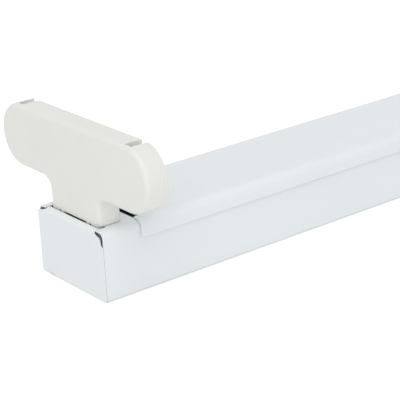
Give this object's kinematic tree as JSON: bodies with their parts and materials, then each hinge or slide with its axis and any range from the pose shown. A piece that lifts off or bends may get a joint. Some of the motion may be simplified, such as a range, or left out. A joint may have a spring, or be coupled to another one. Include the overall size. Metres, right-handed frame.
{
  "type": "twin tube batten light",
  "caption": "Surface batten light for a pair of straight T8 tubes: folded steel channel with a lift-off cover and T-shaped rotary lampholders at each end, shown without tubes.",
  "frame": {"origin": "middle of the back panel's outer face, which is the face that lies on the ceiling or wall", "axes": "+X along the batten towards its far end, +Z out of the back panel towards the tubes, +Y across it towards the left tube"},
  "size_m": [0.622, 0.1208, 0.0807],
  "materials": {
    "white_paint": "semi-gloss powder coat",
    "holder_plastic": "satin moulded",
    "rotor_plastic": "satin moulded",
    "contact_brass": "bright rolled",
    "zinc_steel": "zinc plated",
    "screw_steel": "zinc plated",
    "block_plastic": "natural moulded",
    "brown_sleeve": "satin",
    "blue_sleeve": "satin",
    "green_sleeve": "satin"
  },
  "bodies": {
    "batten": {"base_channel": "white_paint", "cover_bracket": "zinc_steel", "near_holder_shell": "holder_plastic", "near_holder_face": "holder_plastic", "near_contacts": "contact_brass", "far_holder_shell": "holder_plastic", "far_holder_face": "holder_plastic", "far_contacts": "contact_brass", "terminal_block": "block_plastic", "terminal_barrels": "contact_brass", "terminal_screws": "screw_steel", "earth_stud": "zinc_steel", "earth_washer": "zinc_steel", "earth_tag": "contact_brass", "earth_nut": "zinc_steel", "cable_bush": "block_plastic", "live_lead": "brown_sleeve", "neutral_lead": "blue_sleeve", "earth_lead": "green_sleeve", "wire_clips": "block_plastic"},
    "cover": {"gear_cover": "white_paint", "screw_retainer": "screw_steel"},
    "screw": {"cover_screw": "screw_steel"},
    "near_left_socket": {"near_left_rotor": "rotor_plastic"},
    "near_right_socket": {"near_right_rotor": "rotor_plastic"},
    "far_left_socket": {"far_left_rotor": "rotor_plastic"},
    "far_right_socket": {"far_right_rotor": "rotor_plastic"}
  },
  "joints": [
    {"name": "cover_lift", "type": "slide", "parent": "batten", "child": "cover", "axis": [0, 0, 1], "range_m": [0, 0.09]},
    {"name": "screw_turn", "type": "hinge", "parent": "cover", "child": "screw", "pos_m": [0, 0, 0.037], "axis": [0, 0, 1], "continuous": true},
    {"name": "near_left_turn", "type": "hinge", "parent": "batten", "child": "near_left_socket", "pos_m": [-0.3, 0.0445, 0.0648], "axis": [1, 0, 0], "range_deg": [-90, 90]},
    {"name": "near_right_turn", "type": "hinge", "parent": "batten", "child": "near_right_socket", "pos_m": [-0.3, -0.0445, 0.0648], "axis": [1, 0, 0], "range_deg": [-90, 90]},
    {"name": "far_left_turn", "type": "hinge", "parent": "batten", "child": "far_left_socket", "pos_m": [0.3, 0.0445, 0.0648], "axis": [1, 0, 0], "range_deg": [-90, 90]},
    {"name": "far_right_turn", "type": "hinge", "parent": "batten", "child": "far_right_socket", "pos_m": [0.3, -0.0445, 0.0648], "axis": [1, 0, 0], "range_deg": [-90, 90]}
  ]
}
